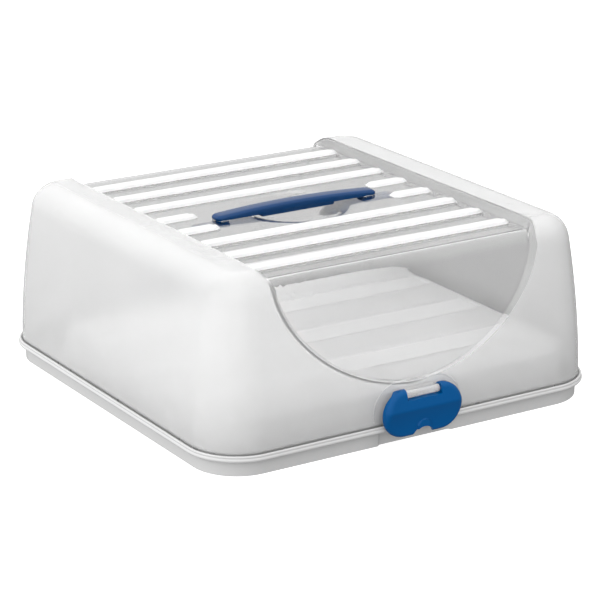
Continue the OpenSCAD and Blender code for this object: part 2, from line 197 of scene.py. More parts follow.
class Patches:
    """Grids of points that together make one piece, each with the number of its material."""

    def __init__(self):
        self.points, self.quads, self.slots, self.count = [], [], [], 0

    def add(self, grid, slot=0, keep=None):
        """Adds a grid of rows by columns by three; slot and keep are one value, or one for each quad."""
        rows, columns = grid.shape[:2]
        quads = grid_quads(rows, columns) + self.count
        slots = np.broadcast_to(np.asarray(slot), ((rows - 1), (columns - 1))).reshape(-1)
        if keep is not None:
            wanted = keep.reshape(-1)
            quads, slots = quads[wanted], slots[wanted]
        self.points.append(grid.reshape(-1, 3))
        self.quads.append(quads)
        self.slots.append(slots)
        self.count += rows * columns

    def mirrored(self, *signs):
        """Adds copies of all that is there, each with X, Y and Z multiplied by its own signs."""
        points, quads, slots = (np.concatenate(x) for x in (self.points, self.quads, self.slots))
        for sign in signs:
            self.points.append(points * np.array(sign))
            self.quads.append(quads + self.count)
            self.slots.append(slots)
            self.count += len(points)

    def turned(self, sign):
        """Turns all that is there half round about Z where sign is -1, for a part's twin at the front."""
        self.points = [points * (sign, sign, 1) for points in self.points]
        return self

    def piece(self, name, materials, sharp=SHARP, merge=NEAR):
        """One mesh object of all the grids, with its doubles merged and its faces turned outwards."""
        mesh = bpy.data.meshes.new(name)
        mesh.from_pydata(np.concatenate(self.points), [], np.concatenate(self.quads))
        for material in materials:
            mesh.materials.append(material)
        mesh.polygons.foreach_set("material_index", np.concatenate(self.slots).astype(np.int32))
        work = bmesh.new()
        work.from_mesh(mesh)
        bmesh.ops.remove_doubles(work, verts=work.verts, dist=merge)
        bmesh.ops.dissolve_degenerate(work, edges=work.edges, dist=merge / 4)
        bmesh.ops.recalc_face_normals(work, faces=work.faces)
        work.to_mesh(mesh)
        work.free()
        mesh.polygons.foreach_set("use_smooth", np.ones(len(mesh.polygons), bool))
        mesh.set_sharp_from_angle(angle=sharp)
        piece = bpy.data.objects.new(name, mesh)
        bpy.context.scene.collection.objects.link(piece)
        return piece


def dress(piece, body, slot, *nodes):
    """Lets a piece ride on a body and stand for CAD nodes, whose parts it hides."""
    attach(piece, body)
    if nodes:
        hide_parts(*nodes)
    return piece


def stack(x, y, z):
    """A grid of points from three arrays that broadcast against each other."""
    return np.stack(np.broadcast_arrays(x, y, z), axis=-1).astype(float)


def ease(t):
    """Smooth step from 0 to 1: three t squared less two t cubed."""
    t = np.clip(t, 0, 1)
    return t * t * (3 - 2 * t)


def spaced(*stops):
    """Places along a line, given as pairs of a stop and the steps on to the next, then the last stop."""
    runs = [np.linspace(a, b, n + 1)[:-1] for (a, n), (b, _) in zip(stops, (*stops[1:-1], (stops[-1], 0)))]
    return np.concatenate([*runs, [stops[-1]]])


def circle_arc(x, y, r, start, end, steps):
    """Points at distance r from (x, y), from one angle to another in degrees."""
    t = np.radians(np.linspace(start, end, steps + 1))
    return np.stack([x + r * np.cos(t), y + r * np.sin(t)], axis=-1)


def around(profile, centre_x, centre_y, xs, ys, corner_steps):
    """Patches of a profile carried round a rounded box.

    The profile's points are (distance out from a corner's centre, height). A side is the profile moved
    along X or Y between the corner centres, and a corner is the profile turned about its centre.
    """
    out, high = profile[:, 0], profile[:, 1]
    grids = []
    for s in (1, -1):
        grids.append(stack(s * (out[:, None] + centre_x), ys[None, :], high[:, None]))
        grids.append(stack(xs[None, :], s * (out[:, None] + centre_y), high[:, None]))
        for r in (1, -1):
            t = np.linspace(0, math.pi / 2, corner_steps + 1)[None, :]
            grids.append(stack(s * (centre_x + out[:, None] * np.cos(t)),
                               r * (centre_y + out[:, None] * np.sin(t)), high[:, None]))
    return grids


# ---- materials ----


class Nodes:
    """Short calls for the nodes of one material."""

    def __init__(self, name):
        self.material = bpy.data.materials.new(name)
        self.material.use_nodes = True
        self.tree = self.material.node_tree
        self.shader = self.tree.nodes["Principled BSDF"]
        self.place = self.tree.nodes.new("ShaderNodeTexCoord").outputs["Object"]

    def add(self, kind, **inputs):
        """A node of a kind, with numbers set and sockets linked by input name."""
        node = self.tree.nodes.new(kind)
        for name, value in inputs.items():
            self.set(node, name.replace("_", " "), value)
        return node

    def set(self, node, name, value):
        """Sets or links one input of a node."""
        if isinstance(value, bpy.types.NodeSocket):
            self.tree.links.new(value, node.inputs[name])
        else:
            node.inputs[name].default_value = value

    def noise(self, scale, detail=2.0, roughness=0.5):
        """A noise pattern fixed to the piece, with so many waves to the metre."""
        return self.add("ShaderNodeTexNoise", Vector=self.place, Scale=scale, Detail=detail,
                        Roughness=roughness).outputs["Fac"]

    def between(self, pattern, low, high):
        """Maps a pattern's middle range onto values from low to high."""
        node = self.add("ShaderNodeMapRange", Value=pattern, To_Min=low, To_Max=high)
        node.inputs["From Min"].default_value = 0.3
        node.inputs["From Max"].default_value = 0.7
        return node.outputs["Result"]

    def tint(self, pattern, base, change):
        """A colour that strays from base by a small share as the pattern changes."""
        ramp = self.add("ShaderNodeValToRGB", Fac=pattern)
        stops = ramp.color_ramp.elements
        stops[0].position, stops[1].position = 0.3, 0.7
        stops[0].color = (*(c * (1 - change) for c in base), 1)
        stops[1].color = (*(min(1, c * (1 + change)) for c in base), 1)
        return ramp.outputs["Color"]

    def bump(self, pattern, strength, depth):
        """Joins a height pattern to the shader's normal, depth in metres."""
        node = self.add("ShaderNodeBump", Height=pattern, Strength=strength, Distance=depth)
        self.set(self.shader, "Normal", node.outputs["Normal"])


def plastic(name, base, rough, *, stray=0.02, grain=900.0, grain_depth=0.00002, clear=0.0,
            specular=0.5):
    """Moulded plastic: slow flow marks in the colour, fine grain in the gloss and a shallow skin texture."""
    made = Nodes(name)
    made.set(made.shader, "Base Color", made.tint(made.noise(9.0, 3.0), base, stray))
    made.set(made.shader, "Roughness", made.between(made.noise(60.0, 4.0), rough * 0.85, rough * 1.15))
    made.set(made.shader, "IOR", 1.49)
    made.set(made.shader, "Specular IOR Level", specular)
    made.set(made.shader, "Transmission Weight", clear)
    made.bump(made.noise(grain, 3.0, 0.6), 0.5, grain_depth)
    return made.material


def lid_materials(finish):
    """Frosted, clear and whitened plastic, then a dark painted shade for the lid's foot, in the order of the
    lid's material numbers.
    """
    return [
        plastic("frosted_plastic", finish.frost, finish.frost_rough, clear=finish.frost_clear, grain=1400.0),
        plastic("clear_plastic", finish.clear, 0.04, clear=1.0, stray=0.01, grain=40.0, grain_depth=0.00006),
        plastic("whitened_plastic", finish.rib, 0.35, clear=0.36, grain=300.0),
        plastic("painted_foot_shade", finish.foot, 0.3, clear=0.3, grain=300.0),
    ]


# the last number marks the lid's lowest band, which takes the painted shade of the rim's groove
FROSTED, CLEAR, WHITENED, FOOT_SHADE = 0, 1, 2, 3


# ---- lid ----


class LidSkin:
    """One skin of the lid, drawn in by t from the outside: t is 0 outside and the wall's thickness inside."""

    lean_power = 1.75
    window_power = 1.8
    panel_angle = 35.0
    bevel_slope = 0.75
    # the second number is the height of the band at the lid's foot that takes the painted shade
    support, foot_line = 0.0009, 0.0019
    rise_power, foot_power, dish_soft = 1.6, 1.35, 0.0012
    foot_rows, rise_rows, corner_steps = 22, 18, 20

    def __init__(self, s, t):
        self.s, self.t = s, t
        self.foot_z, self.foot_w = LID_LOW.z, LID_HIGH.x
        self.top_z = LID_HIGH.z
        self.shoulder_z = self.top_z - s.shoulder_r
        self.lean_h = self.shoulder_z - self.foot_z
        self.angle = math.atan(self.lean_power * s.lean / self.lean_h)
        self.arc_z = self.shoulder_z + s.shoulder_r * math.sin(self.angle)
        self.panel_z = self.top_z - s.panel_drop
        self.core_z = self.panel_z - s.panel_r
        self.a = s.panel_w / 2 + t
        self.b = self.panel_z - s.window_z + t

    def lean(self, z):
        """Half width of the outer wall: the foot's half width less a power of the height."""
        rise = np.clip((z - self.foot_z) / self.lean_h, 0, None)
        return self.foot_w - self.s.lean * rise ** self.lean_power

    def dome(self, z):
        """Half width of this skin at height z: the leaning wall, then the round shoulder."""
        r = self.s.shoulder_r - self.t
        centre = self.lean(self.arc_z) - self.s.shoulder_r * math.cos(self.angle)
        round_part = centre + np.sqrt(np.clip(r * r - (z - self.shoulder_z) ** 2, 0, None))
        limit = self.shoulder_z + r * math.sin(self.angle)
        return np.where(z <= limit, self.lean(z) - self.t, round_part)

    def recess(self, z):
        """Depth of the window's recess, from the window's foot up to the shoulder."""
        s = self.s
        part = np.clip((z - s.window_z) / (self.arc_z - s.window_z), 0, None)
        return s.window_low + (s.window_high - s.window_low) * part

    def core(self, q):
        """(half depth, height) of the sunk panel at distance q up the wall and round its shoulder."""
        r = self.s.panel_r - self.t
        wall = self.lean(np.minimum(q, self.core_z))
        wall = wall - self.recess(np.minimum(q, self.core_z)) - self.t
        turn = np.clip((q - self.core_z) / self.s.panel_r, 0, math.pi / 2)
        centre = self.lean(self.core_z) - self.recess(self.core_z) - self.s.panel_r
        on_wall = q <= self.core_z
        depth = np.where(on_wall, wall, centre + r * np.cos(turn))
        height = np.where(on_wall, q, self.core_z + r * np.sin(turn))
        return depth, height

    def top_columns(self):
        """Places across half the top: fine at rib ends and slots, and stretched to this skin's own width."""
        s = self.s
        bed, end, edge = s.bed_len / 2, s.rib_len / 2, s.panel_w / 2
        low, high = s.slot_x - s.slot_l / 2, s.slot_x + s.slot_l / 2
        fixed = spaced((0, 14), (low, 3), (high, 3), (bed - 0.004, 8), bed + 0.008)
        ends = spaced((bed + 0.014, 4), (end - 0.010, 5), (end - 0.004, 6), (end, 1),
                      (edge - self.support, 1), edge)
        start = fixed[-1]
        ends = start + (ends - start) * (self.a - start) / (edge - start)
        return np.concatenate([fixed, ends])

    def top_rows(self):
        """Places from the panel's shoulder in to the middle: fine on each rib's flanks."""
        s = self.s
        flank = s.rib_slope * np.array([0, 0.2, 0.4, 0.6, 0.8, 1.0])
        half = s.rib_w / 2
        crown = np.linspace(-half + s.rib_slope, half - s.rib_slope, 4)[1:-1]
        across = np.concatenate([-half + flank, crown, half - flank[::-1]])
        centres = -s.rib_pitch * (np.arange(4)[::-1] + 0.5)
        rows = [np.array([-s.corner_c])]
        for k, centre in enumerate(centres):
            rows.append(centre + across)
            stop = centres[k + 1] - half if k < 3 else 0
            steps = 6 if k >= 2 else 3
            rows.append(np.linspace(centre + half, stop, steps + 1)[1:-1] if k < 3 else
                        np.array([-0.0105, -0.008, -s.slot_w / 2, -0.0028, 0]))
        return np.concatenate(rows)

    def outline(self, x):
        """(x, height) of the window's outline: the lower half of a superellipse."""
        share_x = np.clip(x / self.a, 0, 1)
        return self.panel_z - self.b * (1 - share_x ** self.window_power) ** (1 / self.window_power)

    def window_edges(self):
        """The outer edge's (x, height) and the panel edge's (x, distance q) for each column of the top.

        The panel edge is the outer edge drawn in along its own normal by the bevel's run, and its heights are
        drawn down towards the ends, so that both edges leave the front at the same column.
        """
        x = self.top_columns()
        z = self.outline(x)
        fine = np.linspace(0, 1, 2001) ** 0.5 * self.a
        curve = np.stack([fine, self.outline(fine)], axis=-1)
        tangent = np.gradient(curve, axis=0)
        tangent /= np.linalg.norm(tangent, axis=1)[:, None]
        normal_x = np.interp(x, fine, -tangent[:, 1])
        normal_z = np.interp(x, fine, tangent[:, 0])
        run = self.bevel_slope * self.recess(np.minimum(z, self.arc_z))
        stop = self.core_z + self.s.panel_r * math.sin(math.radians(self.panel_angle))
        last = z[-1] + run[-1] * normal_z[-1] - stop
        drawn = ((z - self.s.window_z) / self.b).clip(0) ** 6
        inner_z = z + run * normal_z - last * drawn
        over = np.clip((inner_z - self.core_z) / self.s.panel_r, 0, 1)
        q = np.where(inner_z <= self.core_z, inner_z, self.core_z + self.s.panel_r * np.arcsin(over))
        inner_x = x + run * normal_x
        inner_x[0] = 0
        return x, z, inner_x, q

    def rise(self):
        """Shares of the way from 0 to 1 with steps that shrink towards 1."""
        u = np.linspace(0, 1, self.rise_rows + 1)
        return 1 - (1 - u) ** self.rise_power

    def shoulder(self):
        """(half width, height, x of the ridge's inner edge) up the shoulder from the window to the crest."""
        s, r = self.s, self.s.shoulder_r - self.t
        start = math.asin((self.panel_z - self.shoulder_z) / r)
        turn = start + (math.pi / 2 - start) * self.rise()
        z = self.shoulder_z + r * np.sin(turn)
        x = self.a + s.ridge_run * (z - self.panel_z) / s.panel_drop
        return self.dome(z), z, x

    def relief(self, x, y):
        """Height over the flat panel: ribs with sloping flanks and round ends, less the finger dish."""
        s = self.s
        half, end = s.rib_w / 2 - self.t, s.rib_len / 2 - self.t
        centre = s.rib_pitch * (np.floor(np.abs(y) / s.rib_pitch) + 0.5)
        across = np.abs(np.abs(y) - centre)
        inner = np.where(centre < s.rib_pitch, s.bed_len / 2 + self.t, -1.0)
        middle, reach = (inner + end) / 2, (end - inner) / 2
        along = np.where(inner > 0, np.abs(np.abs(x) - middle), np.abs(x))
        reach = np.where(inner > 0, reach, end)
        beyond = np.maximum(along - (reach - half), 0)
        inside = half - np.hypot(across, beyond)
        inside = np.where(np.abs(y) < 4 * s.rib_pitch, inside, -1.0)
        ribs = s.rib_h * ease(inside / s.rib_slope)
        r = (s.dish_r ** 2 + s.dish_depth ** 2) / (2 * s.dish_depth)
        ball = r + self.t
        depth = self.t + (r - s.dish_depth) - np.sqrt(np.clip(ball ** 2 - x * x - y * y, 0, None))
        gap = (ribs - depth) / self.dish_soft
        blend = depth + self.dish_soft * (gap - (gap + 1) ** 2 / 4)
        return np.where(np.abs(gap) < 1, blend, np.minimum(ribs, depth)), inside

    def patches(self, into):
        """Adds this skin's quarter at the front right, X above 0 and Y below 0."""
        s = self.s
        x, z, inner_x, q = self.window_edges()
        wide, high, edge_x = self.shoulder()
        rows = self.top_rows()
        flat_w = float(wide[-1])
        top = self.top_z - self.t
        # front wall under the window: columns from the foot up to the outline
        u = 1 - (1 - np.linspace(0, 1, self.foot_rows + 1)) ** self.foot_power
        span = z - self.foot_z
        level = self.foot_z + u[:, None] * (span - self.support)[None, :]
        level = np.concatenate([level[:1], level[:1] + self.foot_line, level[1:], z[None, :]])
        # the lowest band takes a painted shade that stands in for the shadow above the rim's lip
        finish = np.where(np.arange(len(level) - 1) > 0, FROSTED, FOOT_SHADE)[:, None]
        into.add(stack(x[None, :], -self.dome(level), level), finish)
        # the profile at the window's side: up the wall, over the shoulder and along the top
        lean_z = level[:, -1]
        lap = np.linspace(flat_w, s.corner_c, 4)[1:]
        profile_w = np.concatenate([self.dome(lean_z), wide[1:], lap])
        profile_z = np.concatenate([lean_z, high[1:], np.full(3, top)])
        inner_edge = np.concatenate([np.full(len(lean_z), self.a), edge_x[1:], np.full(3, edge_x[-1])])
        ridge_y = np.concatenate([-profile_w, rows[1:]])
        ridge_z = np.concatenate([profile_z, np.full(len(rows) - 1, top)])
        inner_edge = np.concatenate([inner_edge, np.full(len(rows) - 1, edge_x[-1])])
        room = s.corner_c - inner_edge
        steps = [0 * room, self.support + 0 * room, room * 0.4, room * 0.7, room]
        ridge_x = inner_edge[:, None] + np.stack(steps, axis=-1)
        # here too the lowest band takes the painted shade
        above = np.where(np.arange(len(ridge_y) - 1) > 0, FROSTED, FOOT_SHADE)[:, None]
        into.add(stack(ridge_x, ridge_y[:, None], ridge_z[:, None]), above)
        # the corner, turned about its centre, and the side wall with its half of the top
        out = profile_w - s.corner_c
        turn = np.linspace(-math.pi / 2, 0, self.corner_steps + 1)[None, :]
        into.add(stack(s.corner_c + out[:, None] * np.cos(turn), -s.corner_c + out[:, None] * np.sin(turn),
                       profile_z[:, None]), above[:len(profile_z) - 1])
        into.add(stack(profile_w[:, None], rows[None, :], profile_z[:, None]), above[:len(profile_z) - 1])
        # the sunk panel: columns from its edge up the wall, then back across the top
        whole = self.core_z + s.panel_r * math.pi / 2
        part = self.rise()
        first = self.support / (whole - q)
        climb = q[None, :] + part[:, None] * (whole - q)[None, :]
        climb[1] = np.where(first < part[1], q + self.support, climb[1])
        depth, height = self.core(climb)
        face_x = inner_x[None, :] + (x - inner_x)[None, :] * ease(part)[:, None]
        into.add(stack(face_x, -depth, height), CLEAR)
        middle = np.linspace(float(depth[-1, -1]), s.corner_c, 4)
        top_y = np.concatenate([-middle, rows[1:]])
        bulge, inside = self.relief(x[None, :], top_y[:, None])
        panel = stack(x[None, :], top_y[:, None], self.panel_z - self.t + bulge)
        centre_in = (inside[1:, 1:] + inside[:-1, 1:] + inside[1:, :-1] + inside[:-1, :-1]) / 4
        mid_x = (x[1:] + x[:-1]) / 2
        mid_y = (top_y[1:] + top_y[:-1]) / 2
        slot = (np.abs(mid_x - s.slot_x) < s.slot_l / 2)[None, :] & (np.abs(mid_y) < s.slot_w / 2)[:, None]
        into.add(panel, np.where(centre_in > 0, WHITENED, CLEAR), ~slot)
        # the bevel between the outline and the panel's edge
        outer = np.concatenate([
            stack(x, -self.dome(z), z),
            stack(edge_x[1:], -wide[1:], high[1:]),
            stack(edge_x[-1], -np.concatenate([lap, -rows[1:]]), top),
        ])
        inner = np.concatenate([stack(face_x[0], -depth[0], height[0]),
                                stack(face_x[1:, -1], -depth[1:, -1], height[1:, -1]),
                                panel[1:, -1]])
        across = np.array([0, 0.12, 0.3, 0.7, 0.88, 1])[None, :, None]
        into.add(outer[:, None] * (1 - across) + inner[:, None] * across, CLEAR)
        border = np.flatnonzero(np.abs(x - s.slot_x) < s.slot_l / 2 + NEAR)
        side = np.flatnonzero(np.abs(top_y) < s.slot_w / 2 + NEAR)
        hole = np.concatenate([panel[side[::-1], border[0]], panel[side[0], border[1:]],
                               panel[side[1:], border[-1]]])
        foot_x = np.concatenate([x, ridge_x[0, 1:]])
        return stack(foot_x, -profile_w[0], self.foot_z), profile_w[0], hole


class CARRIER_OT_lid(Operator):
    """Builds the see-through lid: frosted walls and ridges, clear window and top, whitened ribs, and a
    painted shade band round its foot
    """

    bl_idname = "carrier.lid"
    bl_label = "Lid"

    def execute(self, context):
        s = context.scene.carrier_lid
        shell = Patches()
        feet, holes = [], []
        for t in (0.0, s.wall):
            foot, reach, hole = LidSkin(s, t).patches(shell)
            feet.append((foot, reach))
            holes.append(hole)
        turn = np.linspace(-math.pi / 2, 0, LidSkin.corner_steps + 1)
        rows = LidSkin(s, 0.0).top_rows()
        rims = []
        for foot, reach in feet:
            corner = stack(s.corner_c + (reach - s.corner_c) * np.cos(turn),
                           -s.corner_c + (reach - s.corner_c) * np.sin(turn), LID_LOW.z)
            side = stack(reach, rows, LID_LOW.z)
            rims.append(np.concatenate([foot, corner[1:], side[1:]]))
        shell.add(np.stack(rims), FROSTED)
        shell.add(np.stack(holes), CLEAR)
        shell.mirrored((-1, 1, 1), (1, -1, 1), (-1, -1, 1))
        piece = shell.piece("lid_shell", lid_materials(context.scene.carrier_finishes))
        dress(piece, "lid", "lid_clear", "lid")
        return {"FINISHED"}


def lathe(patches, profile, origin, steps=32, slot=0):
    """Turns a profile of (place along X, radius) about the X axis through origin."""
    t = np.linspace(0, 2 * math.pi, steps + 1)[None, :]
    along, r = profile[:, 0][:, None], profile[:, 1][:, None]
    patches.add(stack(origin[0] + along, origin[1] + r * np.cos(t), origin[2] + r * np.sin(t)), slot)


class CARRIER_OT_barrels(Operator):
    """Builds the barrel, stubs and web that carry each clip, and the low rim round its seat"""

    bl_idname = "carrier.barrels"
    bl_label = "Clip barrels"
    rim_in, rim_out, rim_h = 0.003, 0.005, 0.0007
    web_share, web_flare, web_run = 0.6, 0.9, 0.003

    def mount(self, s, lid):
        """Patches of one mount, at the back: a turned barrel with stubs, a web and a low oval rim."""
        made = Patches()
        half, soft = s.barrel_len / 2, 0.0006
        end = half + s.stub_len
        profile = np.array([[end, 0], [end, s.stub_r - soft], [end - soft, s.stub_r], [half, s.stub_r],
                            [half, s.barrel_r - soft], [half - soft, s.barrel_r], [0, s.barrel_r]])
        profile = np.concatenate([profile, (profile * (-1, 1))[::-1][1:]])
        lathe(made, profile, (0, s.pivot_y, s.pivot_z))
        wall = float(lid.lean(s.pivot_z)) - 0.0006
        reach = np.linspace(wall, s.pivot_y, 5)
        thick = self.web_share * s.barrel_r * (1 + self.web_flare * (1 - ease((reach - wall) / self.web_run)))
        edge = half - 0.0004
        for sign in (1, -1):
            flat_z = (s.pivot_z + sign * thick)[:, None]
            made.add(stack(np.array([-edge, edge])[None, :], reach[:, None], flat_z))
            made.add(stack(sign * edge, reach[:, None], s.pivot_z + thick[:, None] * np.array([[-1, 1]])))
        # low rim: a rounded ridge carried round the upper part of an oval on the lid's wall
        middle = (CLIP_HIGH.z + CLIP_LOW.z) / 2
        r, straight = (CLIP_HIGH.z - CLIP_LOW.z) / 2, CLIP_HIGH.x - (CLIP_HIGH.z - CLIP_LOW.z) / 2
        turn = np.radians(np.linspace(-14, 194, 105))
        shift = np.where(np.cos(turn) > 0, straight, -straight)
        ridge = np.radians(np.linspace(0, 180, 13))
        width = (self.rim_out - self.rim_in) / 2
        ring = r + (self.rim_in + self.rim_out) / 2 + width * np.cos(ridge)[None, :]
        x = shift[:, None] + ring * np.cos(turn)[:, None]
        z = middle + ring * np.sin(turn)[:, None]
        lift = self.rim_h * np.sin(ridge)[None, :] * ease((z - lid.foot_z) / 0.002)
        made.add(stack(x, lid.lean(z) - 0.0003 + lift, np.maximum(z, lid.foot_z + 0.0004)))
        return made

    def execute(self, context):
        s, lid = context.scene.carrier_fittings, LidSkin(context.scene.carrier_lid, 0.0)
        finish = context.scene.carrier_finishes
        clear = plastic("barrel_plastic", finish.clear, 0.12, clear=0.75, grain=200.0)
        for place, sign in ENDS:
            made = self.mount(s, lid).turned(sign)
            dress(made.piece("lid_barrel_" + place, [clear]), "lid", "lid_clear")
        return {"FINISHED"}


# ---- tray and plate ----


class CARRIER_OT_tray(Operator):
    """Builds the tray: skirt, rim bead, upstand and floor, with a keeper and pocket at front and back"""

    bl_idname = "carrier.tray"
    bl_label = "Tray"
    upstand_h, bead_drop, soft = 0.0045, 0.0023, 0.0006
    pocket_soft, pocket_reach = 0.0015, 0.03

    def draw_in(self, s, grid, low=True):
        """Draws the walls in behind the clips, with an eased step at each end of the pocket."""
        behind = ease((s.pocket_w / 2 + self.pocket_soft - np.abs(grid[..., 0])) / (2 * self.pocket_soft))
        end_wall = np.abs(grid[..., 1]) > s.side / 2 - s.corner_r + self.pocket_reach
        grid[..., 1] -= np.sign(grid[..., 1]) * behind * (end_wall & low) * (s.pocket_in - s.skirt_in)
        return grid

    def section(self, s):
        """The tray's wall: up the skirt, round bead and lip, over ledge and upstand, down to the floor."""
        out = s.corner_r - s.skirt_in
        inner = s.corner_r - s.upstand_in
        bead_z = s.rim_z - self.bead_drop
        lip_r, lip_z = s.lip_w / 2, s.rim_z + s.lip_h - s.lip_w / 2
        lip_x = s.corner_r - s.lip_in - lip_r
        top = s.rim_z + self.upstand_h
        floor_top = s.floor_gap + s.floor_t
        hollow = out - s.wall
        return np.concatenate([
            [[hollow, s.floor_gap], [hollow, 0.0004], [hollow + 0.0004, 0], [out - self.soft, 0]],
            circle_arc(out - self.soft, self.soft, self.soft, -60, 0, 3),
            [[out + 0.0003, bead_z - s.bead_r - 0.0012]],
            circle_arc(out + 0.0013, bead_z - s.bead_r - 0.001, 0.001, 180, 90, 4),
            circle_arc(s.corner_r - s.bead_r, bead_z, s.bead_r, -90, 52, 12),
            circle_arc(lip_x, lip_z, lip_r, -38, 180, 14),
            circle_arc(lip_x - lip_r - 0.0004, s.rim_z + 0.0004, 0.0004, 0, -90, 3),
            [[inner + self.soft, s.rim_z]],
            circle_arc(inner + self.soft, s.rim_z + self.soft, self.soft, -90, -180, 3)[1:],
            circle_arc(inner - self.soft, top - self.soft, self.soft, 0, 90, 4),
            circle_arc(inner - s.wall + self.soft, top - self.soft, self.soft, 90, 180, 4),
            [[inner - s.wall, s.rim_z - 0.002]],
            circle_arc(hollow - 0.0002 - 0.003, floor_top + 0.003, 0.003, 0, -90, 5),
            [[hollow - 0.012, floor_top], [0, floor_top]],
        ])

    def execute(self, context):
        s = context.scene.carrier_tray
        centre = s.side / 2 - s.corner_r
        section = self.section(s)
        made = Patches()
        half = s.pocket_w / 2
        soft = self.pocket_soft
        xs = spaced((-centre, 8), (-half - soft, 3), (-half + soft, 12),
                    (half - soft, 3), (half + soft, 8), centre)
        for grid in around(section, centre, centre, xs, xs, 20):
            # the pocket draws the skirt in behind each clip, below the bead
            made.add(self.draw_in(s, grid, grid[..., 2] < s.rim_z - self.bead_drop - s.bead_r - 0.0005))
        floor_top, floor_low = s.floor_gap + s.floor_t, s.floor_gap
        made.add(stack(xs[:, None], xs[None, :], floor_top))
        # underside of the floor
        hollow = s.corner_r - s.skirt_in - s.wall
        for grid in around(np.array([[hollow, floor_low], [0, floor_low]]), centre, centre, xs, xs, 20):
            made.add(self.draw_in(s, grid))
        made.add(stack(xs[:, None], xs[None, :], floor_low))
        finish = context.scene.carrier_finishes
        white = plastic("tray_plastic", finish.tray, 0.22, grain=700.0, specular=0.5)
        dress(made.piece("tray_shell", [white]), "tray", "tray_white", "base_tray")
        for place, sign in ENDS:
            rail = self.keeper(s).turned(sign)
            dress(rail.piece("tray_keeper_" + place, [white]), "tray", "tray_white")
        return {"FINISHED"}

    def keeper(self, s):
        """A rail with a round nose that runs under the bead; its ends draw in over a short round."""
        y, r = TRAY_HIGH.y - s.keeper_r, s.keeper_r
        z = s.rim_z - 0.001 - r
        root = s.side / 2 - s.skirt_in
        start = [[root, z + r]]
        nose = np.concatenate([start, circle_arc(y, z, r, 90, -90, 16), [[root, z - r]], start])
        half, soft = s.keeper_w / 2, 0.0012
        turn = np.radians(np.linspace(0, 90, 6))
        places = np.concatenate([[-half], -half + soft - soft * np.cos(turn),
                                 half - soft + soft * np.cos(turn[::-1]), [half]])
        shrink = np.concatenate([[1], 1 - np.sin(turn), 1 - np.sin(turn[::-1]), [1]])
        scale = 1 - shrink * soft / r
        scale[0] = scale[-1] = 0
        made = Patches()
        made.add(stack(places[:, None], root + (nose[:, 0] - root)[None, :] * scale[:, None],
                       z + (nose[:, 1] - z)[None, :] * scale[:, None]))
        return made


class CARRIER_OT_plate(Operator):
    """Builds the lift-out serving plate: a shallow shell with round edges and sunk bands across its top"""

    bl_idname = "carrier.plate"
    bl_label = "Serving plate"
    band_inset, band_round, flank = 0.0015, 0.006, 0.0016

    def sunk(self, s, x, y, top_x):
        """Depth below the top: bands with round corners and sloping flanks."""
        k = np.clip(np.round(y / s.band_pitch), -(s.bands - 1) / 2, (s.bands - 1) / 2)
        away_y = np.abs(y - k * s.band_pitch) - (s.band_w / 2 - self.band_round)
        away_x = np.abs(x) - (top_x - self.band_inset - self.band_round)
        outside = np.hypot(np.maximum(away_x, 0), np.maximum(away_y, 0))
        inside = self.band_round - np.where((away_x > 0) | (away_y > 0), outside, 0)
        return s.band_depth * ease(inside / self.flank)

    def execute(self, context):
        s = context.scene.carrier_tray
        middle = (PLATE_HIGH + PLATE_LOW) / 2
        half = (PLATE_HIGH - PLATE_LOW) / 2
        cx, cy = half.x - s.plate_r, half.y - s.plate_r
        top_r = s.plate_r - s.plate_draft - s.plate_edge
        flank = np.linspace(0, self.flank, 6)
        edges = [0.0]
        for k in range(s.bands):
            y = (k - (s.bands - 1) / 2) * s.band_pitch
            edges += [*(y - s.band_w / 2 + flank), *(y + s.band_w / 2 - flank), y,
                      *(y + (s.band_w / 2 - self.band_round) * np.array([-1, -0.85, 0.85, 1]))]
        ys = np.unique(np.round(np.concatenate([edges, np.linspace(-cy, cy, 21)]), 6))
        xs = np.linspace(-cx, cx, 25)
        made = Patches()
        for t in (0.0, s.plate_wall):
            flat = top_r - self.band_inset - np.linspace(0, 0.011, 16)
            profile = np.concatenate([
                [[s.plate_r - t, PLATE_LOW.z], [s.plate_r - t - 0.0004, PLATE_LOW.z + 0.006]],
                circle_arc(top_r, PLATE_HIGH.z - s.plate_edge, s.plate_edge - t, 4, 90, 10),
                [[top_r - self.band_inset / 2, PLATE_HIGH.z - t]],
                np.stack([flat, np.full(len(flat), PLATE_HIGH.z - t)], axis=-1),
                [[0, PLATE_HIGH.z - t]],
            ])
            grids = around(profile, cx, cy, xs, ys, 18)
            grids.append(stack(xs[:, None], ys[None, :], PLATE_HIGH.z - t))
            for grid in grids:
                level = grid[..., 2] > PLATE_HIGH.z - t - NEAR
                drop = level * self.sunk(s, grid[..., 0], grid[..., 1], cx + top_r)
                grid[..., 2] -= drop
                grid[..., 1] += middle.y
                corners = drop[1:, 1:] + drop[:-1, 1:] + drop[1:, :-1] + drop[:-1, :-1]
                # quads in the sunk bands take the second material, lighter and glossier
                made.add(grid, np.where(corners > 2 * s.band_depth, 1, 0))
        foot = np.array([[s.plate_r, PLATE_LOW.z], [s.plate_r - s.plate_wall, PLATE_LOW.z]])
        for grid in around(foot, cx, cy, xs, ys, 18):
            grid[..., 1] += middle.y
            made.add(grid)
        finish = context.scene.carrier_finishes
        white = plastic("plate_plastic", finish.plate, 0.38, grain=1200.0)
        bands = plastic("band_plastic", finish.band, 0.2, grain=1200.0)
        dress(made.piece("serving_plate_shell", [white, bands]), "plate", "plate_white", "serving_plate")
        return {"FINISHED"}


# ---- clips ----


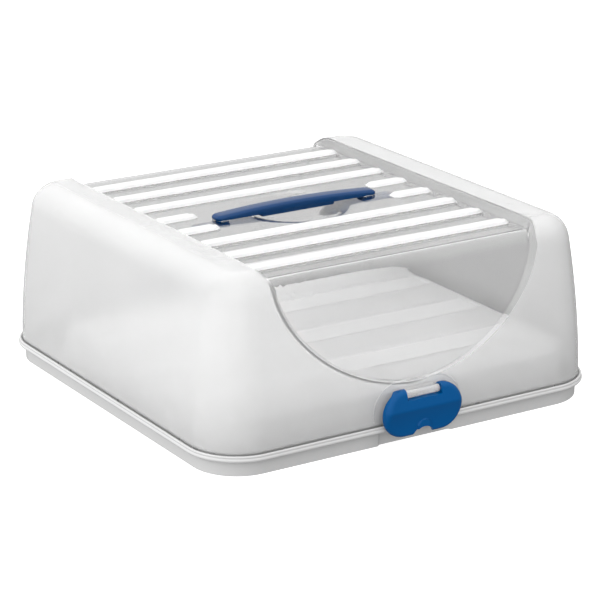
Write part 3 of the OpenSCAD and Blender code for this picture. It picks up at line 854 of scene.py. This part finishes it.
class ClipForm:
    """Worked-out shape of one clip, standing at the back of the carrier."""

    edge_r, end_edge_r, foot_lip, scoop_power, ear_slope = 0.0026, 0.0058, 0.0008, 2.2, math.radians(12)
    ear_gap, barrel_room, stub_gap, crease_soft = 0.0004, 0.0004, 0.00006, 0.0008
    boss_r, boss_out = 0.0062, 0.0050

    def __init__(self, s):
        self.s = s
        self.foot, self.top = CLIP_LOW.z, CLIP_HIGH.z
        self.middle, self.end_r = (self.top + self.foot) / 2, (self.top - self.foot) / 2
        self.straight = CLIP_HIGH.x - self.end_r
        self.back_y = s.pivot_y + 0.0005
        self.ear_x = s.barrel_len / 2 + self.ear_gap
        self.open_z = s.pivot_z - s.barrel_r - self.barrel_room

    def half_width(self, z):
        """Half width of the oval front at height z: a straight stretch and a round end."""
        return self.straight + np.sqrt(np.clip(self.end_r ** 2 - (z - self.middle) ** 2, 0, None))

    def front(self, z):
        """Place of the face at height z: a scoop up to the crease, a straight slope, then the ear's round."""
        s = self.s
        crease_z, crease_y = self.foot + s.crease_up, s.pivot_y + s.crease_out
        foot_y = self.back_y + s.clip_wall + self.foot_lip
        up = np.clip((z - self.foot) / s.crease_up, 0, 1)
        scoop = foot_y + (crease_y - foot_y) * up ** self.scoop_power
        ear_y = s.pivot_y + s.ear_r * math.cos(self.ear_slope)
        ear_z = s.pivot_z + s.ear_r * math.sin(self.ear_slope)
        slope = crease_y + (ear_y - crease_y) * (z - crease_z) / (ear_z - crease_z)
        lift = np.clip(z - s.pivot_z, -s.ear_r, s.ear_r)
        ear = s.pivot_y + np.sqrt(np.clip(s.ear_r ** 2 - lift ** 2, 0, None))
        face = np.where(z < crease_z, scoop, np.where(z > ear_z, ear, slope))
        near = np.clip((z - crease_z) / self.crease_soft, -1, 1)
        return face - 0.2 * self.crease_soft * (1 - near ** 2) ** 2

    def skins(self, x, z):
        """Grids of the front and the back skin over the same places (x, z).

        The front drops in a quarter round towards the oval's edge, with a half-round boss over the notch.
        The back is hollow inside the wall and round behind the ears.
        """
        s = self.s
        face = self.front(z)
        round_end = self.end_r - np.hypot(np.maximum(np.abs(x) - self.straight, 0), z - self.middle)
        weight = np.where(z > self.middle, ease((np.abs(x) - self.straight) / 0.008), 1.0)
        away = np.where(np.abs(x) > self.straight, round_end, np.minimum(z - self.foot, self.end_r))
        edge = self.edge_r + (self.end_edge_r - self.edge_r) * ease((np.abs(x) - self.straight) / 0.004)
        r = np.minimum(edge, 0.85 * (face - self.back_y).clip(0.0008))
        low = 1 - np.clip(away / r, 0, 1)
        front = face - weight * r * (1 - np.sqrt(1 - low * low))
        boss_z = self.foot + s.notch_h
        plane = self.back_y + self.boss_out
        within = self.boss_r - np.hypot(x, z - boss_z)
        lifted = front + (np.maximum(plane, front) - front) * ease(within / 0.0005)
        front = np.where(z > boss_z - self.boss_r, lifted, front)
        turn = np.clip(s.ear_r ** 2 - (z - s.pivot_z) ** 2, 0, None)
        bulge = 1 - ease((np.abs(x) - self.ear_x - s.stub_len - 0.0006) / 0.006)
        behind = s.pivot_y + (self.back_y - s.pivot_y) * (1 - bulge) - bulge * np.sqrt(turn)
        behind = np.where(z > s.pivot_z - s.ear_r, behind, self.back_y)
        hollow = ease((away - s.clip_wall + 0.0002) / 0.0005) * ease((s.pivot_z - s.ear_r - z) / 0.0006)
        behind = behind + hollow * np.maximum(face - s.clip_wall - behind, 0)
        return stack(x, front, z), stack(x, behind, z)

    def patches(self):
        """All the clip's grids: a part between the ears and a part with an ear, then their mirror images."""
        s = self.s
        made = Patches()
        wall = self.foot + s.clip_wall
        crease = self.foot + s.crease_up
        ear_low = s.pivot_z - s.ear_r
        low = spaced((self.foot, 2), (self.foot + 0.0007, 3), (wall - 0.0003, 3), (wall + 0.0004, 24),
                     (crease - 0.001, 6), (crease + 0.001, 7),
                     (ear_low - 0.0007, 4), (ear_low, 2), self.open_z)
        angle = np.linspace(math.asin((self.open_z - s.pivot_z) / s.ear_r), math.pi / 2, 17)
        rows = np.concatenate([low, s.pivot_z + s.ear_r * np.sin(angle[1:])])
        notch_r = (s.notch_w ** 2 / 4 + s.notch_h ** 2) / (2 * s.notch_h)
        x = spaced((0, 24), (s.notch_w / 2, 9), self.ear_x)
        arch = np.sqrt(np.clip(notch_r ** 2 - x * x, 0, None)) - notch_r + s.notch_h
        mid = self.foot + 0.0165
        give = 1 - np.clip((low - self.foot) / (mid - self.foot), 0, 1)
        z = low[:, None] + np.clip(arch, 0, None)[None, :] * give[:, None]
        front, back = self.skins(np.broadcast_to(x, z.shape), z)
        made.add(front)
        made.add(back)
        made.add(np.stack([front[0], back[0]]))
        made.add(np.stack([front[-1], back[-1]]))
        out = np.array([0, 0.14, 0.28, 0.42, 0.54, 0.64, 0.72, 0.79, 0.85, 0.9, 0.94, 0.97, 0.99, 1])[None, :]
        z = np.broadcast_to(rows[:, None], (len(rows), out.shape[1]))
        front, back = self.skins(self.ear_x + out * (self.half_width(rows)[:, None] - self.ear_x), z)
        made.add(front)
        made.add(back)
        made.add(np.stack([front[:, -1], back[:, -1]]))
        made.add(np.stack([front[0], back[0]]))
        self.ear_side(made, front[len(low) - 1:, 0], back[len(low) - 1:, 0])
        made.mirrored((-1, 1, 1))
        return made

    def ear_side(self, made, front, back):
        """The ear's inner face: from its border in to the stub's hole, then the hole itself."""
        s = self.s
        border = np.concatenate([front, back[::-1][1:], front[:1]])
        turn = np.arctan2(border[:, 2] - s.pivot_z, border[:, 1] - s.pivot_y)
        r = s.stub_r + self.stub_gap
        rim = stack(self.ear_x, s.pivot_y + r * np.cos(turn), s.pivot_z + r * np.sin(turn))
        deep = rim + (s.stub_len + 0.0002, 0, 0)
        floor = stack(self.ear_x + s.stub_len + 0.0002 + 0 * turn, s.pivot_y, s.pivot_z)
        made.add(np.stack([border, rim, deep, floor]))


class CARRIER_OT_clips(Operator):
    """Builds the two blue clips: round ears, a bright upper face, a crease and a scooped lower face"""

    bl_idname = "carrier.clips"
    bl_label = "Clips"

    def execute(self, context):
        finish = context.scene.carrier_finishes
        form = ClipForm(context.scene.carrier_fittings)
        blue = plastic("blue_plastic", finish.blue, 0.1, specular=0.12, stray=0.04, grain=500.0,
                       grain_depth=0.00001)
        for place, sign in ENDS:
            node = place + "_clip"
            made = form.patches().turned(sign)
            dress(made.piece(node + "_shell", [blue]), node, "clip_blue", node)
        return {"FINISHED"}


# ---- handle ----


def bar(made, path, side, up, loop, scale):
    """A closed outline carried along a path.

    Each row is the path's point plus the outline's two parts along side and up, times that row's scale.
    """
    wide = loop[None, :, 0, None] * side[:, None, :] * scale[:, None, :1]
    tall = loop[None, :, 1, None] * up[:, None, :] * scale[:, None, 1:]
    made.add(path[:, None, :] + wide + tall)


def round_box_loop(width, height, r, steps=5):
    """Closed outline of a rectangle with round corners, about its middle."""
    w, h = width / 2 - r, height / 2 - r
    centres = ((w, h, 0), (-w, h, 90), (-w, -h, 180), (w, -h, 270))
    corners = [circle_arc(x, y, r, a, a + 90, steps) for x, y, a in centres]
    return np.concatenate([*corners, corners[0][:1]])


class CARRIER_OT_handle(Operator):
    """Builds the dark blue handle: a bow with bevelled edges, a grip under it, two legs and two tongues"""

    bl_idname = "carrier.handle"
    bl_label = "Handle"
    leg_l, leg_w, tongue_w, tongue_t, reach = 0.008, 0.010, 0.014, 0.0024, 0.020

    def execute(self, context):
        s = context.scene.carrier_fittings
        made = Patches()
        half = s.handle_len / 2
        radius = (half ** 2 + s.handle_rise ** 2) / (2 * s.handle_rise)
        top = HANDLE_HIGH.z
        self.fixings(made, s, half, top - s.handle_t - s.handle_rise)

        def arch(x):
            """Height of the bow's crown over x: an arc through the two ends and the middle."""
            return top - radius + np.sqrt(radius ** 2 - x ** 2)

        # the bow: flat below, upright at the side, bevelled, then crowned
        low, bevel = top - s.handle_t - s.handle_rise, 0.0022
        inset = [s.handle_w / 2, 0.0008, 0.0002, 0, 0, 0.0002, 0.0006, bevel - 0.0005, bevel, bevel + 0.0008,
                 s.handle_w / 4, s.handle_w / 2]
        rise = [0, 0, 0.0002, 0.0008, None, 0.0005 - bevel, 0.0009 - bevel, -0.0006, -0.0003, -0.00015,
                -0.00004, 0]
        made.add(self.section(half, s.handle_w / 2, s.handle_end, inset, rise, low, arch, bevel))
        grip_w = s.handle_w / 2 - 0.001
        inset = [grip_w, 0.0008, 0.0002, 0, 0, 0.0012, grip_w]
        rise = [0, 0, 0.0002, 0.0008, None, 0, 0]
        made.add(self.section(s.grip_len / 2, grip_w, 0.002, inset, rise, low - s.grip_t,
                              lambda x: 0 * x + low + 0.0008, 0))
        finish = context.scene.carrier_finishes
        navy = plastic("navy_plastic", finish.navy, 0.15, specular=0.2, stray=0.04, grain=500.0,
                       grain_depth=0.00001)
        dress(made.piece("handle_bow", [navy]), "handle", "handle_blue", "handle")
        return {"FINISHED"}

    def section(self, half, wide, corner, inset, rise, low, crown, bevel):
        """A closed block over a rectangle with round corners.

        Each column of the grid is the outline drawn in by an inset, and the corner's radius shrinks with it.
        Its height is a rise above the underside, None for the top of the upright side, and past that a drop
        below the crown's height at that place.
        """
        t = np.linspace(0, math.pi / 2, 9)
        long = np.linspace(half - corner, 0, 16)[1:-1]
        quarter = []
        for d in inset:
            r = max(corner - d, 0)
            cx, cy = max(half - d, 0) - r, wide - d - r
            arc = np.stack([cx + r * np.cos(t), cy + r * np.sin(t)], axis=-1)
            side = np.stack([np.minimum(long, cx), 0 * long + wide - d], axis=-1)
            quarter.append(np.concatenate([[[half - d if r else cx, 0]], arc, side, [[0, wide - d]]]))
        plan = np.stack(quarter, axis=1)
        to_middle = np.array(inset) >= wide - NEAR
        plan[..., 0] = np.where(to_middle, np.minimum(plan[..., 0], half - wide), plan[..., 0])
        lift = np.array([-bevel if r is None else r for r in rise])
        past = np.cumsum([r is None for r in rise]) > 0
        z = np.where(past, crown(plan[..., 0]) + lift, low + lift)
        grid = np.concatenate([plan, z[..., None]], axis=-1)
        half_loop = np.concatenate([grid, grid[::-1][1:] * (-1, 1, 1)])
        return np.concatenate([half_loop, half_loop[::-1][1:] * (1, -1, 1)])

    def fixings(self, made, s, half, low_z):
        """Both legs, upright through the lid's slots, and both tongues, flat under the lid's top."""
        low = HANDLE_LOW.z
        leg_x = half - self.leg_l / 2 - 0.0035
        z = spaced((low + 0.0006, 8), low_z + 0.001)
        z = np.concatenate([z[:1], z, z[-1:]])
        flat = np.tile([1.0, 0.0, 0.0], (len(z), 1)), np.tile([0.0, 1.0, 0.0], (len(z), 1))
        path = stack(leg_x, 0, z)
        scale = np.ones((len(z), 2))
        scale[[0, -1]] = 0
        bar(made, path, *flat, round_box_loop(self.leg_l, self.leg_w, 0.0012), scale)
        start, end, tip_r = leg_x - self.leg_l / 2, half + self.reach, self.tongue_w / 2
        x = np.concatenate([[start], start + 0.0008 * np.linspace(0, 1, 4),
                            np.linspace(start + 0.003, end - tip_r, 8)[:-1],
                            end - tip_r * (1 - np.sin(np.linspace(0, math.pi / 2, 12))), [end]])
        tip = np.clip((x - (end - tip_r)) / tip_r, 0, 1)
        wide = np.sqrt(1 - tip ** 2) * (1 - 0.15 * ease((start + 0.0008 - x) / 0.0008))
        scale = np.stack([wide, 0.35 + 0.65 * np.minimum(1, wide * 2)], axis=-1)
        scale[[0, -1]] = 0
        path = stack(x, 0, low + self.tongue_t / 2)
        across = np.tile([0.0, 1.0, 0.0], (len(x), 1)), np.tile([0.0, 0.0, 1.0], (len(x), 1))
        bar(made, path, *across, round_box_loop(self.tongue_w, self.tongue_t, 0.0005, 3), scale)
        made.mirrored((-1, 1, 1))


# ---- stage ----


class StageSettings(PropertyGroup):
    """Camera, light and floor."""

    azimuth: FloatProperty(name="Azimuth", description="Camera's turn from the front",
                           default=math.radians(-32.05), subtype="ANGLE")
    elevation: FloatProperty(name="Elevation", description="Camera's height as an angle",
                             default=math.radians(17.92), subtype="ANGLE")
    distance: length("Distance", "From the camera to its target", 2.0721)
    target_z: length("Target height", "Height of the camera's target", 0.08)
    lens: FloatProperty(name="Lens", description="Focal length in millimetres", default=150.39)
    dim: FloatProperty(name="Dim side", description="Strength of the surround on its dim side", default=0.32)
    bright: FloatProperty(name="Bright side", description="Strength of the surround on its bright side",
                          default=1.9)
    key: FloatProperty(name="Key", description="Power of the light at the left", default=3.0)
    floor: colour("Floor", "Pale floor", (0.3, 0.3, 0.3))
    glow: FloatProperty(name="Floor glow", description="Light that the floor itself gives off", default=0.95)


class CARRIER_OT_stage(Operator):
    """Sets a pale floor, soft studio light and the camera"""

    bl_idname = "carrier.stage"
    bl_label = "Stage"
    shift_x, shift_y = 0.0087, -0.0315
    floor_half = 6.0
    bright_way, dim_until = (-0.42, 0.0, 0.91), -0.72
    key_place, key_wide, key_tall = (-2.2, 0.1, 0.7), 0.6, 1.4

    def light(self, name, place, wide, tall, power):
        """A rectangular area light that points at the carrier's middle."""
        data = bpy.data.lights.new(name, "AREA")
        data.shape, data.size, data.size_y, data.energy = "RECTANGLE", wide, tall, power
        lamp = bpy.data.objects.new(name, data)
        lamp.location = place
        lamp.rotation_euler = (Vector((0, 0, 0.07)) - Vector(place)).to_track_quat("-Z", "Y").to_euler()
        bpy.context.scene.collection.objects.link(lamp)

    def execute(self, context):
        s = context.scene.carrier_stage
        scene = context.scene
        world = bpy.data.worlds.new("surround")
        scene.world = world
        world.use_nodes = True
        tree = world.node_tree
        place = tree.nodes.new("ShaderNodeTexCoord")
        facing = tree.nodes.new("ShaderNodeVectorMath")
        facing.operation = "DOT_PRODUCT"
        facing.inputs[1].default_value = Vector(self.bright_way).normalized()
        strength = tree.nodes.new("ShaderNodeMapRange")
        strength.interpolation_type = "SMOOTHSTEP"
        ends = {"From Min": self.dim_until, "From Max": 1.0, "To Min": s.dim, "To Max": s.bright}
        for name, value in ends.items():
            strength.inputs[name].default_value = value
        tree.links.new(place.outputs["Generated"], facing.inputs[0])
        tree.links.new(facing.outputs["Value"], strength.inputs["Value"])
        tree.links.new(strength.outputs["Result"], tree.nodes["Background"].inputs["Strength"])
        tree.nodes["Background"].inputs["Color"].default_value = (1, 1, 1, 1)
        edge = np.linspace(-self.floor_half, self.floor_half, 9)
        ground = Patches()
        ground.add(stack(edge[:, None], edge[None, :], 0.0))
        paper = plastic("floor_paper", s.floor, 0.6, stray=0.004, grain=60.0, specular=0.1)
        paper.node_tree.nodes["Principled BSDF"].inputs["Emission Color"].default_value = (1, 1, 1, 1)
        paper.node_tree.nodes["Principled BSDF"].inputs["Emission Strength"].default_value = s.glow
        floor = ground.piece("floor", [paper])
        # the floor shows white and sends no light back up, so the skirt keeps its shade
        floor.visible_diffuse = floor.visible_glossy = floor.visible_transmission = False
        self.light("key_light", self.key_place, self.key_wide, self.key_tall, s.key)
        data = bpy.data.cameras.new("camera")
        data.lens, data.sensor_width = s.lens, 36
        data.shift_x, data.shift_y = self.shift_x, self.shift_y
        camera = bpy.data.objects.new("camera", data)
        flat = math.cos(s.elevation) * s.distance
        camera.location = (flat * math.sin(s.azimuth), -flat * math.cos(s.azimuth),
                           s.target_z + math.sin(s.elevation) * s.distance)
        aim = Vector((0, 0, s.target_z)) - camera.location
        camera.rotation_euler = aim.to_track_quat("-Z", "Y").to_euler()
        scene.collection.objects.link(camera)
        scene.camera = camera
        scene.view_settings.view_transform = "Standard"
        return {"FINISHED"}


# ---- sidebar and registration ----


class CARRIER_PT_panel(Panel):
    """Sizes, finishes and a button for each piece"""

    bl_idname = "CARRIER_PT_panel"
    bl_label = "Cake carrier"
    bl_space_type = "VIEW_3D"
    bl_region_type = "UI"
    bl_category = "Carrier"

    def draw(self, context):
        for kind in OPERATORS:
            self.layout.operator(kind.bl_idname)
        for name in GROUPS:
            group = getattr(context.scene, name)
            box = self.layout.box()
            for key in group.__annotations__:
                box.prop(group, key)


GROUPS = {
    "carrier_tray": TraySizes,
    "carrier_lid": LidSizes,
    "carrier_fittings": FittingSizes,
    "carrier_finishes": Finishes,
    "carrier_stage": StageSettings,
}
OPERATORS = (CARRIER_OT_tray, CARRIER_OT_plate, CARRIER_OT_lid, CARRIER_OT_barrels, CARRIER_OT_clips,
             CARRIER_OT_handle, CARRIER_OT_stage)


def register():
    """Registers the classes and hangs the settings on the scene."""
    for kind in (*GROUPS.values(), *OPERATORS, CARRIER_PT_panel):
        bpy.utils.register_class(kind)
    for name, kind in GROUPS.items():
        setattr(bpy.types.Scene, name, PointerProperty(type=kind))


def unregister():
    """Takes the settings and the classes away again."""
    for name in GROUPS:
        delattr(bpy.types.Scene, name)
    for kind in reversed((*GROUPS.values(), *OPERATORS, CARRIER_PT_panel)):
        bpy.utils.unregister_class(kind)


def main():
    """Builds every piece in order."""
    register()
    bpy.ops.carrier.tray()
    bpy.ops.carrier.plate()
    bpy.ops.carrier.lid()
    bpy.ops.carrier.barrels()
    bpy.ops.carrier.clips()
    bpy.ops.carrier.handle()
    bpy.ops.carrier.stage()


if __name__ == "__main__":
    main()
